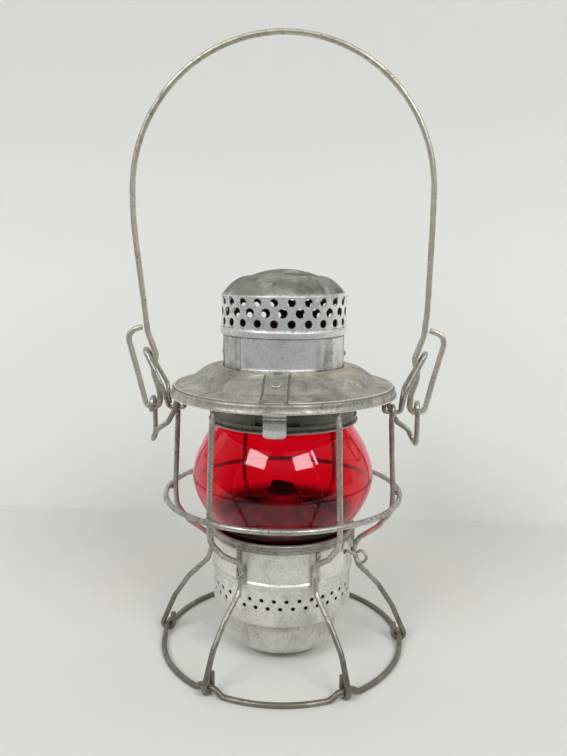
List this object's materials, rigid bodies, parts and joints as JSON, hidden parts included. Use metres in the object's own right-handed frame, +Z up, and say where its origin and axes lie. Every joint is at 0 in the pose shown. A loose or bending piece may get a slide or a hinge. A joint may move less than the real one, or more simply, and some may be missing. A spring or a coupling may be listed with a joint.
{
  "type": "railroad lantern",
  "caption": "Hand lantern with a wire guard, a clear red glass globe over an oil pot and burner, a hinged sheet-metal hood with a perforated vent, and a tall swinging wire bail.",
  "frame": {"origin": "on the floor, under the globe's axis, at the middle of the base ring", "axes": "+Z up along the globe's axis, -Y towards the latch, +X to the side where the wick raiser comes out"},
  "size_m": [0.2108, 0.1662, 0.4013],
  "materials": {
    "frame_wire": "dull tinned wire with brown specks",
    "bail_wire": "worn tinned wire",
    "holder_sheet": "dull tinned sheet with a mottled patina",
    "pot_sheet": "dull tinned sheet with fine pale specks",
    "hood_sheet": "dusty tinned sheet",
    "chimney_sheet": "dull tinned sheet, a little dusty on top",
    "retainer_sheet": "darkened tinned sheet",
    "latch_steel": "worn spring steel",
    "red_glass": "clear ruby glass, polished",
    "burner_brass": "dull brass",
    "burner_steel": "heat-darkened sheet",
    "wick_cotton": "woven cotton"
  },
  "bodies": {
    "frame": {"base_ring": "frame_wire", "middle_ring": "frame_wire", "top_ring": "frame_wire", "guard_front_left": "frame_wire", "guard_front_right": "frame_wire", "guard_side_left": "frame_wire", "guard_side_right": "frame_wire", "guard_rear_left": "frame_wire", "guard_rear_right": "frame_wire", "bail_ear_left": "frame_wire", "bail_ear_right": "frame_wire", "holder_clips": "frame_wire", "globe_holder": "holder_sheet", "globe_seat": "holder_sheet", "holder_rim": "holder_sheet", "slot_tab": "holder_sheet", "air_skirt": "holder_sheet", "pot": "pot_sheet", "pot_cover": "pot_sheet", "hinge_bracket": "hood_sheet", "hinge_pin": "frame_wire", "globe": "red_glass", "burner_base": "burner_brass", "burner_gallery": "burner_brass", "wick_tube": "burner_brass", "burner_cone": "burner_steel"},
    "lid": {"hood": "hood_sheet", "hinge_strap": "hood_sheet", "hinge_rivet": "hood_sheet", "chimney": "chimney_sheet", "chimney_rivets": "chimney_sheet", "vent": "chimney_sheet", "globe_retainer": "retainer_sheet", "retainer_flange": "retainer_sheet", "latch_strap": "latch_steel", "latch_rivets": "latch_steel"},
    "latch": {"latch_spring": "latch_steel"},
    "bail": {"bail": "bail_wire"},
    "stay_left": {"bail_stay_left": "frame_wire"},
    "stay_right": {"bail_stay_right": "frame_wire"},
    "raiser": {"raiser_shaft": "frame_wire", "raiser_wheels": "burner_brass", "raiser_loop": "frame_wire"},
    "wick": {"wick": "wick_cotton"}
  },
  "joints": [
    {"name": "lid_hinge", "type": "hinge", "parent": "frame", "child": "lid", "pos_m": [0, 0.079, 0.173], "axis": [-1, 0, 0], "range_deg": [0, 100]},
    {"name": "latch_press", "type": "hinge", "parent": "lid", "child": "latch", "pos_m": [0, -0.0542, 0.1878], "axis": [1, 0, 0], "range_deg": [0, 8], "stiffness_Nm_per_rad": 0.2},
    {"name": "bail_swing", "type": "hinge", "parent": "frame", "child": "bail", "pos_m": [0, 0, 0.163], "axis": [1, 0, 0], "range_deg": [-90, 90]},
    {"name": "stay_left_swing", "type": "hinge", "parent": "frame", "child": "stay_left", "pos_m": [0, 0, 0.163], "axis": [1, 0, 0], "range_deg": [-90, 90]},
    {"name": "stay_right_swing", "type": "hinge", "parent": "frame", "child": "stay_right", "pos_m": [0, 0, 0.163], "axis": [1, 0, 0], "range_deg": [-90, 90]},
    {"name": "raiser_turn", "type": "hinge", "parent": "frame", "child": "raiser", "pos_m": [0.00225, 0.0039, 0.0738], "axis": [0.866, -0.5, 0], "range_deg": [-130, 130]},
    {"name": "wick_rise", "type": "slide", "parent": "frame", "child": "wick", "axis": [0, 0, 1], "range_m": [-0.0079, 0.0079]}
  ],
  "couplings": [
    {"joint": "stay_left_swing", "follows": "bail_swing", "ratio": 1},
    {"joint": "stay_right_swing", "follows": "bail_swing", "ratio": 1},
    {"joint": "raiser_turn", "follows": "wick_rise", "rad_per_m": -285.7}
  ]
}
